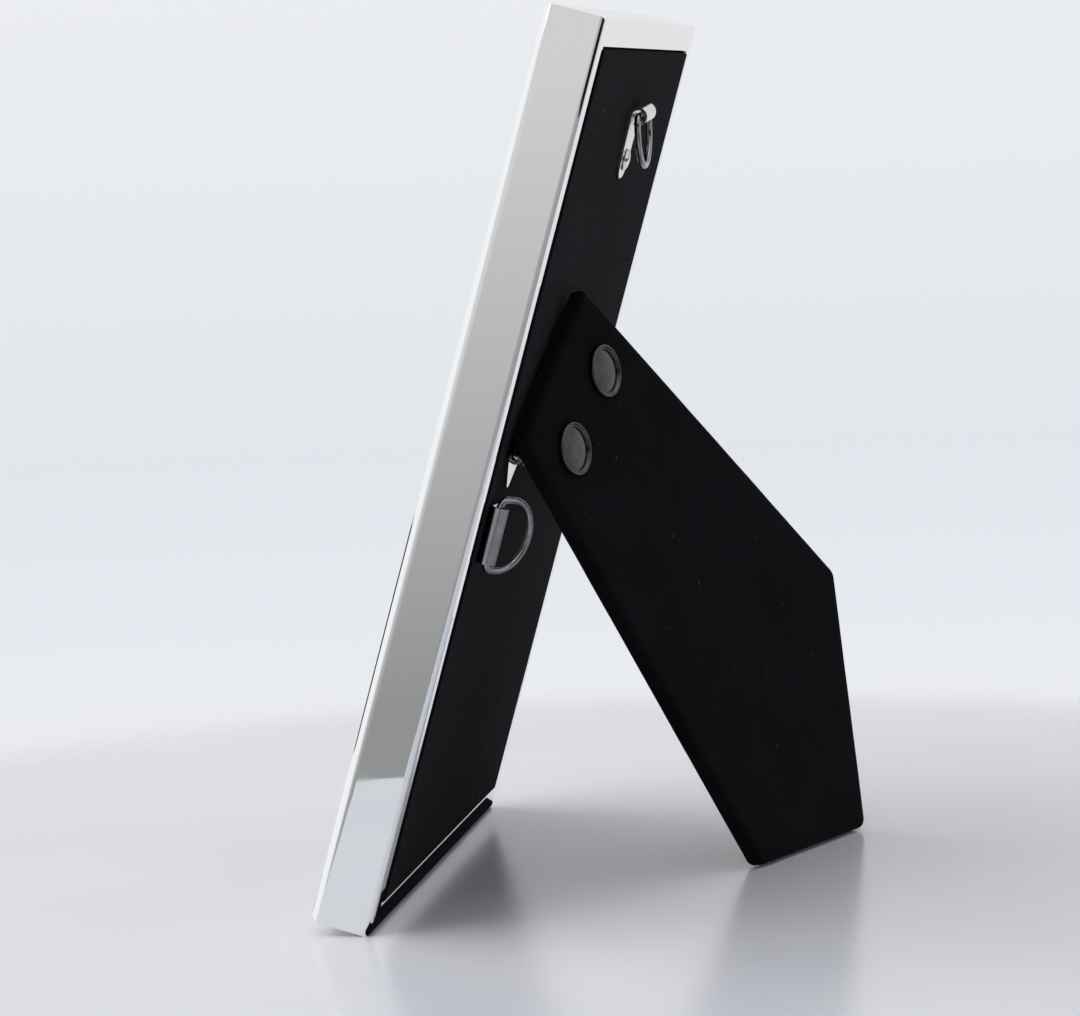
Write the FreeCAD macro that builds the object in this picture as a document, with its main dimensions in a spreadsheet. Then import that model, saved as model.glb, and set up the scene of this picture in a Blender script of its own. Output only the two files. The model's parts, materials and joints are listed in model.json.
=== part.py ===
import FreeCAD, Part
import math
import os
import re
import Sketcher
from FreeCAD import Placement, Rotation, Vector

# Easel back photo frame for a 13 by 18 cm picture, standing on its open strut.
# Millimetres. X is the width, Y points behind the frame and Z is up. The origin is at the
# bottom centre of the box round the standing frame.

# Driving sizes
SIZES = {
    # Moulding of the frame: an L-shaped section, mitred at the corners
    "frame_width": 141.0,
    "frame_height": 192.0,
    "frame_depth": 13.0,
    "lip_width": 6.0,
    "front_border": 10.5,
    "flange_thickness": 2.4,
    "front_edge_radius": 2.5,
    "back_edge_radius": 1.2,
    "sight_edge_radius": 0.8,
    "lip_edge_radius": 0.5,
    # What lies between the flange and the back
    "pane_play": 1.0,
    "glass_thickness": 2.0,
    "insert_thickness": 0.3,
    "spacer_thickness": 2.0,
    # The back, a board wrapped in velvet that pushes into the opening
    "back_gap": 0.1,
    "back_play": 0.3,
    "board_thickness": 6.0,
    "velvet_thickness": 0.6,
    "wrap_edge_bevel": 0.4,
    # The strut, a five-cornered board wrapped in the same velvet
    "strut_turn_angle": 45.0,
    "strut_open_angle": 33.1,
    "strut_inset": 1.6,
    "hinge_inset": 24.3,
    "strut_top_width": 42.6,
    "strut_tip_offset": 3.4,
    "strut_side_edge": 59.0,
    "strut_foot_edge": 49.0,
    "strut_board_thickness": 3.0,
    "strut_edge_bevel": 0.6,
    "strut_stop_gap": 0.3,
    "upper_corner_radius": 3.0,
    "lower_corner_radius": 5.0,
    "side_corner_radius": 3.0,
    "tip_corner_radius": 2.5,
    "foot_corner_radius": 3.0,
    # The hinge
    "hinge_width": 42.0,
    "leaf_thickness": 0.6,
    "knuckle_radius": 1.6,
    "knuckle_gap": 0.2,
    "groove_clearance": 0.3,
    "pin_clearance": 0.05,
    "pin_end_bevel": 0.3,
    "panel_leaf_depth": 11.2,
    "strut_leaf_depth": 14.5,
    "leaf_corner_radius": 2.0,
    # The rivets
    "rivet_clearance": 0.05,
    "cap_radius": 5.6,
    "cap_height": 1.25,
    "cap_rim_height": 0.35,
    "cap_shank_radius": 1.5,
    "cap_tail_radius": 2.6,
    "cap_tail_height": 0.5,
    "cap_drop": 9.2,
    "cap_spread": 10.9,
    "stud_radius": 2.5,
    "stud_height": 1.0,
    "stud_shank_radius": 1.2,
    "panel_stud_drop": 6.4,
    "panel_stud_spread": 14.5,
    "hanger_stud_reach": 10.5,
    # The hangers: a strap curled round a D-shaped ring
    "strap_width": 12.0,
    "strap_tip_width": 9.8,
    "strap_reach": 14.6,
    "strap_tip_radius": 4.4,
    "strap_thickness": 0.6,
    "curl_radius": 1.95,
    "curl_mouth_angle": 20.0,
    "ring_wire_radius": 0.7,
    "ring_width": 15.1,
    "ring_reach": 11.0,
    "ring_corner_radius": 2.0,
    "ring_split": 0.3,
    "top_hanger_drop": 19.5,
    "top_hanger_skew_angle": 5.0,
    "side_hanger_inset": 10.7,
    "side_hanger_rise": 85.2,
    "side_hanger_skew_angle": 2.0,
    "side_ring_angle": 32.0,
    # How far a cutting tool runs past what it cuts
    "overrun": 1.0,
}
KNUCKLES = 5
WIRE_SIDES = 8

# Sizes that follow from the driving ones
DERIVED = {
    "glass_front": "flange_thickness - frame_depth",
    "insert_front": "glass_front + glass_thickness",
    "spacer_front": "insert_front + insert_thickness",
    "board_front": "spacer_front + spacer_thickness + back_gap",
    "board_back": "board_front + board_thickness",
    "velvet_back": "board_back + velvet_thickness",
    "opening_width": "frame_width - 2 * lip_width",
    "opening_height": "frame_height - 2 * lip_width",
    "pane_width": "opening_width - 2 * pane_play",
    "pane_height": "opening_height - 2 * pane_play",
    "wrap_width": "opening_width - 2 * back_play",
    "wrap_height": "opening_height - 2 * back_play",
    "board_width": "wrap_width - 2 * velvet_thickness",
    "board_height": "wrap_height - 2 * velvet_thickness",
    "turn": "strut_turn_angle * 1 deg",
    "opened": "strut_open_angle * 1 deg",
    "lean": "lean_angle * 1 deg",
    "hinge_out": "velvet_back + knuckle_radius",
    "hinge_x": "opening_width / 2 - hinge_inset",
    "tip_x": "strut_inset - opening_width / 2",
    "tip_up": "lip_width + strut_inset",
    "hinge_up": "tip_up + ((hinge_x - tip_x) * cos(turn) + strut_tip_offset) / sin(turn)",
    "strut_length": "(hinge_x - tip_x) * sin(turn) + (hinge_up - tip_up) * cos(turn)",
    "strut_thickness": "strut_board_thickness + 2 * velvet_thickness",
    "strut_overhang": "strut_edge_bevel + (knuckle_radius + knuckle_radius * cos(opened)"
                      " - strut_stop_gap) / sin(opened)",
    "strut_side_out": "strut_side_edge * cos(turn) - strut_tip_offset",
    "strut_side_down": "strut_length - strut_side_edge * sin(turn)",
    "foot_fall": "sin(turn) * cos(lean)",
    "foot_run": "cos(turn) * cos(opened) * cos(lean) + sin(opened) * sin(lean)",
    "foot_share": "1 / sqrt(foot_fall * foot_fall + foot_run * foot_run)",
    "strut_foot_out": "strut_tip_offset + strut_foot_edge * foot_run * foot_share",
    "strut_foot_down": "strut_length - strut_foot_edge * foot_fall * foot_share",
    "knuckle_pitch": "hinge_width / knuckle_count",
    "pin_radius": "knuckle_radius - leaf_thickness - pin_clearance",
    "cap_bore": "cap_shank_radius + rivet_clearance",
    "stud_bore": "stud_shank_radius + rivet_clearance",
    "curl_inner_radius": "curl_radius - strap_thickness",
    "ring_centre": "ring_reach - ring_width / 2",
    "top_hanger_up": "frame_height - top_hanger_drop",
    "side_hanger_x": "frame_width / 2 - side_hanger_inset",
}

doc = FreeCAD.newDocument("easel_back_photo_frame")
sheet = doc.addObject("Spreadsheet::Sheet", "Sizes")


def store(name, number):
    """Write one plain number to the next row of the sheet, under its alias."""
    row = len(stored) + 1
    sheet.set("A%d" % row, name.replace("_", " "))
    sheet.set("B%d" % row, repr(number))
    sheet.setAlias("B%d" % row, name)
    stored.append(name)


stored = []
for name, number in SIZES.items():
    store(name, number)
store("knuckle_count", KNUCKLES)
doc.recompute()


def on_sheet(formula):
    """Spell a formula out in cells of the sheet."""
    def spell(match):
        word = match.group(0)
        if word in DERIVED:
            return "(" + on_sheet(DERIVED[word]) + ")"
        return "Sizes." + word if word in stored else word
    return re.sub(r"[a-z]\w+", spell, formula)


def size(formula):
    """The number that a formula gives."""
    return float(sheet.evalExpression(on_sheet(formula)))


# How far the frame leans back: the bevelled foot of the open strut and the rounded back
# bottom edge of the frame come down to the same level.
def foot_height(angle):
    """Height of the strut's foot above the lowest line of the frame at this lean."""
    low, up = math.sin(angle), math.cos(angle)
    turn = math.radians(SIZES["strut_turn_angle"])
    opened = math.radians(SIZES["strut_open_angle"])
    drop = math.sin(opened) * low + math.cos(turn) * math.cos(opened) * up
    facing = math.cos(turn) * up * math.sin(opened) - low * math.cos(opened)
    tip = (size("hinge_up") * up - size("hinge_out") * low
           - SIZES["strut_tip_offset"] * math.sin(turn) * up
           - size("strut_length") * drop
           + SIZES["knuckle_radius"] * facing)
    bevel_rise = SIZES["strut_edge_bevel"] * min(facing, math.sqrt(1 - facing * facing))
    return tip + bevel_rise - frame_bottom(angle)


def frame_bottom(angle):
    """Height of the frame's rounded back bottom edge at this lean."""
    return SIZES["back_edge_radius"] * (math.sin(angle) + math.cos(angle) - 1)


def solve_lean():
    """Halve the bracket of angles until the foot and the frame stand level."""
    low, high = 0, math.radians(SIZES["strut_open_angle"])
    for step in range(60):
        middle = (low + high) / 2
        if foot_height(middle) > 0:
            low = middle
        else:
            high = middle
    return math.degrees(middle)


store("lean_angle", solve_lean())
doc.recompute()
print("lean", round(size("lean_angle"), 3), "degrees")


# Drafting
def new_body(name):
    body = doc.addObject("PartDesign::Body", name)
    body.Label = name
    return body


def sketch_on(body, name, role, lift="0"):
    """A sketch on one of the body's own planes, lifted along its normal."""
    sketch = body.newObject("Sketcher::SketchObject", name)
    plane = next(p for p in body.Origin.OriginFeatures if p.Role == role)
    sketch.AttachmentSupport = [(plane, "")]
    sketch.MapMode = "FlatFace"
    sketch.setExpression("AttachmentOffset.Base.z", on_sheet(lift))
    return sketch


def bind(sketch, kind, formula, *place):
    """Add a dimension whose value follows the sheet."""
    index = sketch.addConstraint(Sketcher.Constraint(kind, *place, size(formula)))
    sketch.setExpression("Constraints[%d]" % index, on_sheet(formula))


def pin_point(sketch, geometry, position, across, up):
    """Hold a point at two formulas, measured from the sketch's origin."""
    bind(sketch, "DistanceX", across, -1, 1, geometry, position)
    bind(sketch, "DistanceY", up, -1, 1, geometry, position)


def draw(sketch, corners):
    """Closed outline through corners of (across, up, rounding), all of them formulas."""
    count = len(corners)
    points = [Vector(size(a), size(u), 0) for a, u, rounding in corners]
    ways = [(points[(i + 1) % count] - points[i]).normalize() for i in range(count)]
    radii = [size(rounding) for a, u, rounding in corners]
    starts, ends, arcs = list(points), list(points), {}
    for i in range(count):
        if not radii[i]:
            continue
        before, after = ways[i - 1], ways[i]
        half = before.getAngle(after) / 2
        reach = radii[i] * math.tan(half)
        ends[i] = points[i] - before * reach
        starts[i] = points[i] + after * reach
        inward = (after - before).normalize()
        centre = points[i] + inward * (radii[i] / math.cos(half))
        left = before.cross(after).z > 0
        first, last = (ends[i], starts[i]) if left else (starts[i], ends[i])
        angles = [math.atan2(p.y - centre.y, p.x - centre.x) for p in (first, last)]
        circle = Part.Circle(centre, Vector(0, 0, 1), radii[i])
        arc = sketch.addGeometry(Part.ArcOfCircle(circle, *angles))
        arcs[i] = (arc, 1, 2) if left else (arc, 2, 1)
    lines = []
    for i in range(count):
        segment = Part.LineSegment(starts[i], ends[(i + 1) % count])
        lines.append(sketch.addGeometry(segment))
    for i, (across, up, rounding) in enumerate(corners):
        if i not in arcs:
            sketch.addConstraint(Sketcher.Constraint("Coincident", lines[i - 1], 2, lines[i], 1))
            pin_point(sketch, lines[i], 1, across, up)
            continue
        arc, entry, leaving = arcs[i]
        sketch.addConstraint(Sketcher.Constraint("Tangent", lines[i - 1], 2, arc, entry))
        sketch.addConstraint(Sketcher.Constraint("Tangent", arc, leaving, lines[i], 1))
        bind(sketch, "Radius", rounding, arc)
        sharp = sketch.addGeometry(Part.Point(points[i]), True)
        pin_point(sketch, sharp, 1, across, up)
        sketch.addConstraint(Sketcher.Constraint("PointOnObject", sharp, 1, lines[i - 1]))
        sketch.addConstraint(Sketcher.Constraint("PointOnObject", sharp, 1, lines[i]))


def draw_circle(sketch, across, up, radius):
    centre = Vector(size(across), size(up), 0)
    circle = sketch.addGeometry(Part.Circle(centre, Vector(0, 0, 1), size(radius)))
    pin_point(sketch, circle, 3, across, up)
    bind(sketch, "Radius", radius, circle)


def pad(body, sketch, length, both_ways=False):
    feature = body.newObject("PartDesign::Pad", sketch.Name + "_pad")
    feature.Profile = sketch
    feature.setExpression("Length", on_sheet(length))
    if both_ways:
        feature.SideType = "Symmetric"
    return feature


def pocket(body, sketch, depth=None):
    """Cut a sketch back into the body, or right through it both ways without a depth."""
    feature = body.newObject("PartDesign::Pocket", sketch.Name + "_pocket")
    feature.Profile = sketch
    if depth:
        feature.setExpression("Length", on_sheet(depth))
    else:
        feature.SideType = "Symmetric"
        feature.Type = "ThroughAll"
    return feature


def drill(body, name, role, places, radius):
    """Round holes right through the body, on one sketch."""
    sketch = sketch_on(body, name, role)
    for across, up in places:
        draw_circle(sketch, across, up, radius)
    return pocket(body, sketch)


def bevel_edges(body, feature, width, chosen):
    """Bevel the edges of the body's last feature that a test picks."""
    doc.recompute()
    names = ["Edge%d" % (i + 1) for i, edge in enumerate(feature.Shape.Edges) if chosen(edge)]
    bevel = body.newObject("PartDesign::Chamfer", feature.Name + "_bevel")
    bevel.Base = (feature, names)
    bevel.setExpression("Size", on_sheet(width))


def bore(name, across, up, radius, length, lift):
    """A round tool along Z that holes are cut with."""
    tool = doc.addObject("Part::Cylinder", name)
    tool.setExpression("Radius", on_sheet(radius))
    tool.setExpression("Height", on_sheet(length))
    for letter, formula in (("x", across), ("y", up), ("z", lift)):
        tool.setExpression("Placement.Base." + letter, on_sheet(formula))
    return tool


def cut(name, base, tools):
    """A node that is one shape less some others."""
    tool = tools[0]
    if len(tools) > 1:
        tool = doc.addObject("Part::MultiFuse", name + "_tools")
        tool.Shapes = tools
    node = doc.addObject("Part::Cut", name + "_node")
    node.Base = base
    node.Tool = tool
    node.Label = name
    return node


# Every node with its place on the upright frame, where Y is 0 at the back lip and Z is 0
# at the bottom
NODES = []


def seat(node, place):
    NODES.append((node, place))
    return node


def at(across, out, up):
    return Placement(Vector(size(across), size(out), size(up)), Rotation())


def axes_at(across, out, up, along_x, along_y, along_z):
    return Placement(at(across, out, up).Base, Rotation(along_x, along_y, along_z, "ZXY"))


# The four rails. Their own X runs in from the outer face and Z runs along them.
def make_rail(name, length, across, up, quarter_turns):
    body = new_body(name)
    section = sketch_on(body, name + "_section", "XY_Plane")
    draw(section, [
        ("0", "0", "back_edge_radius"),
        ("lip_width", "0", "lip_edge_radius"),
        ("lip_width", "glass_front", "0"),
        ("front_border", "glass_front", "0"),
        ("front_border", "-frame_depth", "sight_edge_radius"),
        ("0", "-frame_depth", "front_edge_radius"),
    ])
    pad(body, section, length, both_ways=True)
    mitres = sketch_on(body, name + "_mitres", "XZ_Plane")
    for side in ("", "-"):
        draw(mitres, [
            ("-overrun", side + "(" + length + " / 2 + overrun)", "0"),
            ("front_border + overrun", side + "(" + length + " / 2 + overrun)", "0"),
            ("front_border + overrun", side + "(" + length + " / 2 - front_border - overrun)", "0"),
        ])
    pocket(body, mitres)
    turned = Rotation(Vector(0, 1, 0), 90 * quarter_turns)
    return seat(body, Placement(at(across, "0", up).Base, turned))


make_rail("rail_left", "frame_height", "-frame_width / 2", "frame_height / 2", 0)
make_rail("rail_top", "frame_width", "0", "frame_height", 1)
make_rail("rail_right", "frame_height", "frame_width / 2", "frame_height / 2", 2)
make_rail("rail_bottom", "frame_width", "0", "0", 3)


# The glass and the two cards behind it
def make_pane(name, front, thickness):
    pane = doc.addObject("Part::Box", name)
    pane.Label = name
    pane.setExpression("Length", on_sheet("pane_width"))
    pane.setExpression("Width", on_sheet(thickness))
    pane.setExpression("Height", on_sheet("pane_height"))
    return seat(pane, at("-pane_width / 2", front, "lip_width + pane_play"))


make_pane("glass", "glass_front", "glass_thickness")
make_pane("insert_card", "insert_front", "insert_thickness")
make_pane("spacer_card", "spacer_front", "spacer_thickness")

# Where the rivets go through the back: two in the hinge leaf, one in each hanger
skew = "top_hanger_skew_angle * 1 deg"
tilt = "side_hanger_skew_angle * 1 deg"
BACK_RIVETS = {
    "upper": ("hinge_x - panel_stud_spread * cos(turn) - panel_stud_drop * sin(turn)",
              "hinge_up + panel_stud_spread * sin(turn) - panel_stud_drop * cos(turn)"),
    "lower": ("hinge_x + panel_stud_spread * cos(turn) - panel_stud_drop * sin(turn)",
              "hinge_up - panel_stud_spread * sin(turn) - panel_stud_drop * cos(turn)"),
    "top": ("-hanger_stud_reach * sin(" + skew + ")",
            "top_hanger_up - hanger_stud_reach * cos(" + skew + ")"),
    "side": ("side_hanger_x - hanger_stud_reach * cos(" + tilt + ")",
             "side_hanger_rise + hanger_stud_reach * sin(" + tilt + ")"),
}


def rectangle(width, height):
    """Corners of a rectangle centred in the opening."""
    left, right = "-" + width + " / 2", width + " / 2"
    bottom, top = "(frame_height - " + height + ") / 2", "(frame_height + " + height + ") / 2"
    return [(left, bottom, "0"), (right, bottom, "0"), (right, top, "0"), (left, top, "0")]


# The board of the back, drilled for the rivets
def make_back_board():
    body = new_body("back_board")
    outline = sketch_on(body, "back_board_outline", "XZ_Plane")
    draw(outline, rectangle("board_width", "board_height"))
    pad(body, outline, "board_thickness")
    drill(body, "back_board_holes", "XZ_Plane", BACK_RIVETS.values(), "stud_bore")
    return seat(body, at("0", "board_back", "0"))


# The velvet of the back: a tray that the board fills, with the pile pressed down in a
# groove under the knuckles of the hinge
def make_back_velvet():
    body = new_body("back_velvet_tray")
    outline = sketch_on(body, "back_velvet_outline", "XZ_Plane")
    draw(outline, rectangle("wrap_width", "wrap_height"))
    block = pad(body, outline, "board_thickness + velvet_thickness")
    bevel_edges(body, block, "wrap_edge_bevel",
                lambda edge: all(abs(v.Y) < size("overrun") / 100 for v in edge.Vertexes))
    inside = sketch_on(body, "back_velvet_inside", "XZ_Plane", "board_thickness + velvet_thickness")
    draw(inside, rectangle("board_width", "board_height"))
    pocket(body, inside, "board_thickness")
    drill(body, "back_velvet_holes", "XZ_Plane", BACK_RIVETS.values(), "stud_bore")
    groove = doc.addObject("Part::Cylinder", "back_velvet_groove")
    groove.setExpression("Radius", on_sheet("knuckle_radius + groove_clearance"))
    groove.setExpression("Height", on_sheet("hinge_width + 2 * groove_clearance"))
    start = at("hinge_x", "knuckle_radius", "hinge_up")
    along = Vector(-math.cos(math.radians(size("strut_turn_angle"))), 0,
                   math.sin(math.radians(size("strut_turn_angle"))))
    start.Base = start.Base - along * size("hinge_width / 2 + groove_clearance")
    groove.Placement = Placement(start.Base, Rotation(Vector(0, 0, 1), along))
    return seat(cut("back_velvet", body, [groove]), at("0", "velvet_back", "0"))


make_back_board()
make_back_velvet()

# The hinge and the strut. Their own X runs down the strut, Y along the hinge pin and Z out
# from the back, from the middle of the pin.
turn = math.radians(size("strut_turn_angle"))
down = Vector(-math.sin(turn), 0, -math.cos(turn))
along = Vector(-math.cos(turn), 0, math.sin(turn))
out = Vector(0, 1, 0)
HINGE = axes_at("hinge_x", "hinge_out", "hinge_up", down, along, out)
STRUT = HINGE * Placement(Vector(), Rotation(Vector(0, 1, 0), -size("strut_open_angle")))


def make_leaf(name, place, depth, lift, own_cells, rivet_places, hole):
    """A hinge leaf: a plate with every other knuckle of the barrel."""
    body = new_body(name)
    plate = sketch_on(body, name + "_plate", "XY_Plane", lift)
    draw(plate, [
        ("0", "-hinge_width / 2", "0"),
        (depth, "-hinge_width / 2", "leaf_corner_radius"),
        (depth, "hinge_width / 2", "leaf_corner_radius"),
        ("0", "hinge_width / 2", "0"),
    ])
    pad(body, plate, "leaf_thickness")
    barrel = sketch_on(body, name + "_barrel", "XZ_Plane")
    draw_circle(barrel, "0", "0", "knuckle_radius")
    draw_circle(barrel, "0", "0", "knuckle_radius - leaf_thickness")
    pad(body, barrel, "hinge_width", both_ways=True)
    gaps = sketch_on(body, name + "_gaps", "XY_Plane")
    for cell in range(KNUCKLES):
        if cell in own_cells:
            continue
        low = "-hinge_width / 2 + %d * knuckle_pitch - knuckle_gap / 2" % cell
        high = "-hinge_width / 2 + %d * knuckle_pitch + knuckle_gap / 2" % (cell + 1)
        draw(gaps, [
            ("-knuckle_radius - overrun", low, "0"),
            ("knuckle_radius + groove_clearance", low, "0"),
            ("knuckle_radius + groove_clearance", high, "0"),
            ("-knuckle_radius - overrun", high, "0"),
        ])
    pocket(body, gaps)
    drill(body, name + "_holes", "XY_Plane", rivet_places, hole)
    return seat(body, place)


PANEL_STUDS = [("panel_stud_drop", "panel_stud_spread"),
               ("panel_stud_drop", "-panel_stud_spread")]
CAPS = [("cap_drop", "cap_spread"), ("cap_drop", "-cap_spread")]
make_leaf("hinge_leaf_panel", HINGE, "panel_leaf_depth", "-knuckle_radius",
          range(0, KNUCKLES, 2), PANEL_STUDS, "stud_bore")
make_leaf("hinge_leaf_strut", STRUT, "strut_leaf_depth", "knuckle_radius - leaf_thickness",
          range(1, KNUCKLES, 2), CAPS, "cap_bore")


def make_pin():
    body = new_body("hinge_pin")
    circle = sketch_on(body, "hinge_pin_section", "XZ_Plane")
    draw_circle(circle, "0", "0", "pin_radius")
    rod = pad(body, circle, "hinge_width", both_ways=True)
    bevel_edges(body, rod, "pin_end_bevel",
                lambda edge: edge.Curve.TypeId == "Part::GeomCircle")
    return seat(body, STRUT)


make_pin()


# The strut's board and its velvet
STRUT_CORNERS = [
    ("-strut_overhang", "strut_top_width / 2", "upper_corner_radius"),
    ("-strut_overhang", "-strut_top_width / 2", "lower_corner_radius"),
    ("strut_foot_down", "-strut_foot_out", "foot_corner_radius"),
    ("strut_length", "-strut_tip_offset", "tip_corner_radius"),
    ("strut_side_down", "strut_side_out", "side_corner_radius"),
]


def make_strut():
    wrap = new_body("strut_wrap")
    outline = sketch_on(wrap, "strut_outline", "XY_Plane", "knuckle_radius")
    draw(outline, STRUT_CORNERS)
    slab = pad(wrap, outline, "strut_thickness")
    bevel_edges(wrap, slab, "strut_edge_bevel",
                lambda edge: abs(edge.Vertexes[0].Z - edge.Vertexes[-1].Z) < size("overrun") / 100)
    core_outline = doc.addObject("Part::Offset2D", "strut_core_outline")
    core_outline.Source = outline
    core_outline.setExpression("Value", on_sheet("-velvet_thickness"))
    core = doc.addObject("Part::Extrusion", "strut_core")
    core.Base = core_outline
    core.DirMode = "Custom"
    core.Dir = Vector(0, 0, 1)
    core.setExpression("LengthFwd", on_sheet("strut_board_thickness"))
    core.Solid = True
    core.setExpression("Placement.Base.z", on_sheet("velvet_thickness"))
    bores = []
    for count, (across, up) in enumerate(CAPS):
        bores.append(bore("strut_bore_%d" % count, across, up, "cap_bore",
                          "strut_thickness + 2 * overrun", "knuckle_radius - overrun"))
    groove = doc.addObject("Part::Cylinder", "strut_groove")
    groove.setExpression("Radius", on_sheet("knuckle_radius + groove_clearance"))
    groove.setExpression("Height", on_sheet("hinge_width + 2 * groove_clearance"))
    groove.Placement = Placement(Vector(0, size("hinge_width / 2 + groove_clearance"), 0),
                                 Rotation(Vector(0, 0, 1), Vector(0, -1, 0)))
    seat(cut("strut_board", core, bores), STRUT)
    seat(cut("strut_velvet", wrap, [core, groove] + bores), STRUT)


make_strut()


# Rivets: a domed head in two slopes over a rim or none, a shank and sometimes a rolled tail
def make_rivets(name, head, rim_height, shank_radius, grip, tail, places):
    """A rivet at each place of the upright frame; its own Z is 0 under the head."""
    body = new_body(name)
    profile = sketch_on(body, name + "_profile", "XZ_Plane")
    radius, height = head
    end = "-(" + grip + ")"
    steps = [("0", end, "0"), (shank_radius, end, "0"), (shank_radius, "0", "0"), (radius, "0", "0")]
    if tail:
        tail_radius, tail_end = tail[0], end + " - " + tail[1]
        steps[:1] = [("0", tail_end, "0"), (tail_radius, tail_end, "0"), (tail_radius, end, "0")]
    if rim_height:
        steps.append((radius, rim_height, "0"))
    shoulder = (rim_height or "0") + " / 4 + " + height + " * 3 / 4"
    draw(profile, steps + [(radius + " / 2", shoulder, "0"), ("0", height, "0")])
    turning = body.newObject("PartDesign::Revolution", name + "_turning")
    turning.Profile = profile
    turning.ReferenceAxis = (profile, ["V_Axis"])
    turning.Angle = 360
    rivets = []
    for count, place in enumerate(places):
        rivet = doc.addObject("Part::Compound", name + "_%d" % count)
        rivet.Links = [body]
        rivet.Placement = place
        rivets.append(rivet)
    node = doc.addObject("Part::Compound", name + "_node")
    node.Links = rivets
    body.Label = name + "_turned"
    node.Label = name
    return seat(node, Placement())


make_rivets("strut_rivets", ("cap_radius", "cap_height"), "cap_rim_height", "cap_shank_radius",
            "strut_thickness + leaf_thickness", ("cap_tail_radius", "cap_tail_height"),
            [STRUT * at(across, up, "knuckle_radius + strut_thickness") for across, up in CAPS])


# The hangers. Their own X runs along the tongue, Y along the curl and Z out from the velvet.
def make_strap(name, place):
    body = new_body(name)
    curl = sketch_on(body, name + "_curl", "XZ_Plane")
    draw_circle(curl, "0", "curl_radius", "curl_radius")
    draw_circle(curl, "0", "curl_radius", "curl_inner_radius")
    pad(body, curl, "strap_width", both_ways=True)
    mouth = sketch_on(body, name + "_mouth", "XZ_Plane")
    draw(mouth, [
        ("0", "curl_radius", "0"),
        ("0", "-overrun", "0"),
        ("2 * curl_radius", "-overrun", "0"),
        ("2 * curl_radius * cos(curl_mouth_angle * 1 deg)",
         "curl_radius - 2 * curl_radius * sin(curl_mouth_angle * 1 deg)", "0"),
    ])
    pocket(body, mouth)
    tongue = sketch_on(body, name + "_tongue", "XY_Plane")
    draw(tongue, [
        ("0", "-strap_width / 2", "0"),
        ("strap_reach", "-strap_tip_width / 2", "strap_tip_radius"),
        ("strap_reach", "strap_tip_width / 2", "strap_tip_radius"),
        ("0", "strap_width / 2", "0"),
    ])
    pad(body, tongue, "strap_thickness")
    drill(body, name + "_hole", "XY_Plane", [("hanger_stud_reach", "0")], "stud_bore")
    return seat(body, place)


# The D-shaped rings: wire bent to a straight bar, two legs and a half circle, with its ends
# meeting inside the curl
def make_ring(name, place):
    body = new_body(name)
    path = sketch_on(body, name + "_path", "XY_Plane")
    half, corner = size("ring_width") / 2, size("ring_corner_radius")
    centre, split = size("ring_centre"), size("ring_split") / 2
    normal = Vector(0, 0, 1)

    def line(x1, y1, x2, y2):
        return path.addGeometry(Part.LineSegment(Vector(x1, y1, 0), Vector(x2, y2, 0)))

    def arc(x, y, radius, first, last):
        circle = Part.Circle(Vector(x, y, 0), normal, radius)
        return path.addGeometry(Part.ArcOfCircle(circle, first, last))

    quarter = math.pi / 2
    bar = line(0, split, 0, half - corner)
    bend = arc(corner, half - corner, corner, quarter, 2 * quarter)
    leg = line(corner, half, centre, half)
    bow = arc(centre, 0, half, -quarter, quarter)
    far_leg = line(centre, -half, corner, -half)
    far_bend = arc(corner, corner - half, corner, 2 * quarter, 3 * quarter)
    far_bar = line(0, corner - half, 0, -split)
    joints = [(bar, 2, bend, 2), (bend, 1, leg, 1), (leg, 2, bow, 2), (bow, 1, far_leg, 1),
              (far_leg, 2, far_bend, 2), (far_bend, 1, far_bar, 1)]
    for ends in joints:
        path.addConstraint(Sketcher.Constraint("Tangent", *ends))
    for upright in (bar, far_bar):
        path.addConstraint(Sketcher.Constraint("Vertical", upright))
    for level in (leg, far_leg):
        path.addConstraint(Sketcher.Constraint("Horizontal", level))
    for round_part in (bend, far_bend):
        bind(path, "Radius", "ring_corner_radius", round_part)
    pin_point(path, bar, 1, "0", "ring_split / 2")
    pin_point(path, far_bar, 2, "0", "-ring_split / 2")
    bind(path, "DistanceY", "ring_width / 2", -1, 1, leg, 1)
    pin_point(path, bow, 3, "ring_centre", "0")
    wire = sketch_on(body, name + "_wire", "XZ_Plane", "-ring_split / 2")
    spokes = ["((%d + 1 / 2) * 360 / %d * 1 deg)" % (side, WIRE_SIDES) for side in range(WIRE_SIDES)]
    draw(wire, [("ring_wire_radius * cos" + spoke, "ring_wire_radius * sin" + spoke, "0")
                for spoke in spokes])
    doc.recompute()
    sweep = body.newObject("PartDesign::AdditivePipe", name + "_sweep")
    sweep.Profile = wire
    sweep.Spine = (path, ["Edge%d" % (i + 1) for i in range(len(path.Shape.Edges))])
    return seat(body, place)


def make_hanger(name, across, up, tongue, ring_angle):
    """Strap and ring, with the tongue in this direction along the back."""
    base = axes_at(across, "velvet_back", up, tongue, out.cross(tongue), out)
    make_strap(name + "_strap", base)
    lift = Placement(Vector(0, 0, size("curl_radius")), Rotation(Vector(0, 1, 0), -ring_angle))
    make_ring(name + "_ring", base * lift)
    return base


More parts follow.
